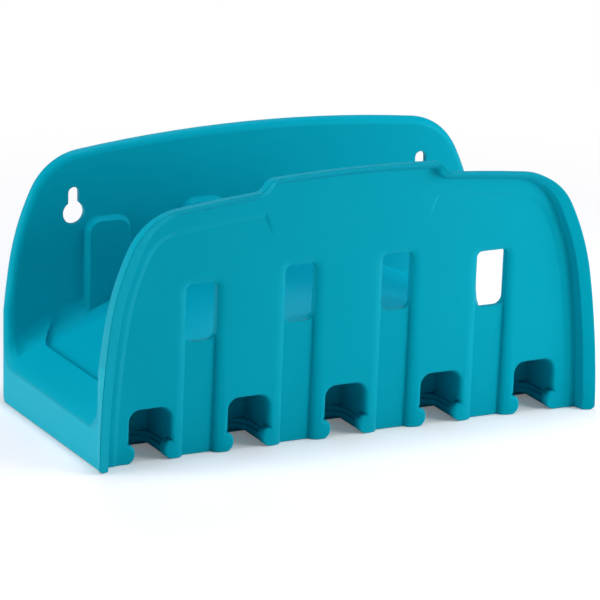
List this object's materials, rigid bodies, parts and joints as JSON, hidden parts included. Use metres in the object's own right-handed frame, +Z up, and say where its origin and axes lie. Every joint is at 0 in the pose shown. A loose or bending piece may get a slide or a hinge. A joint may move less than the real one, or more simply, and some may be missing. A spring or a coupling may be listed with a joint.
{
  "type": "hose hanger",
  "caption": "Wall bracket that holds a coil of garden hose over a curved saddle between a rimmed front panel and a back panel with keyholes, with a row of open bays for hose fittings below.",
  "frame": {"origin": "middle of the footprint, on the plane that the base stands on", "axes": "+Z up, +Y towards the wall, +X along the bracket to the right as seen from the front"},
  "size_m": [0.2684, 0.126, 0.1372],
  "materials": {
    "shell": "satin teal with fine grain on the end faces"
  },
  "bodies": {
    "root": {"hose_hanger": "shell"}
  },
  "joints": []
}
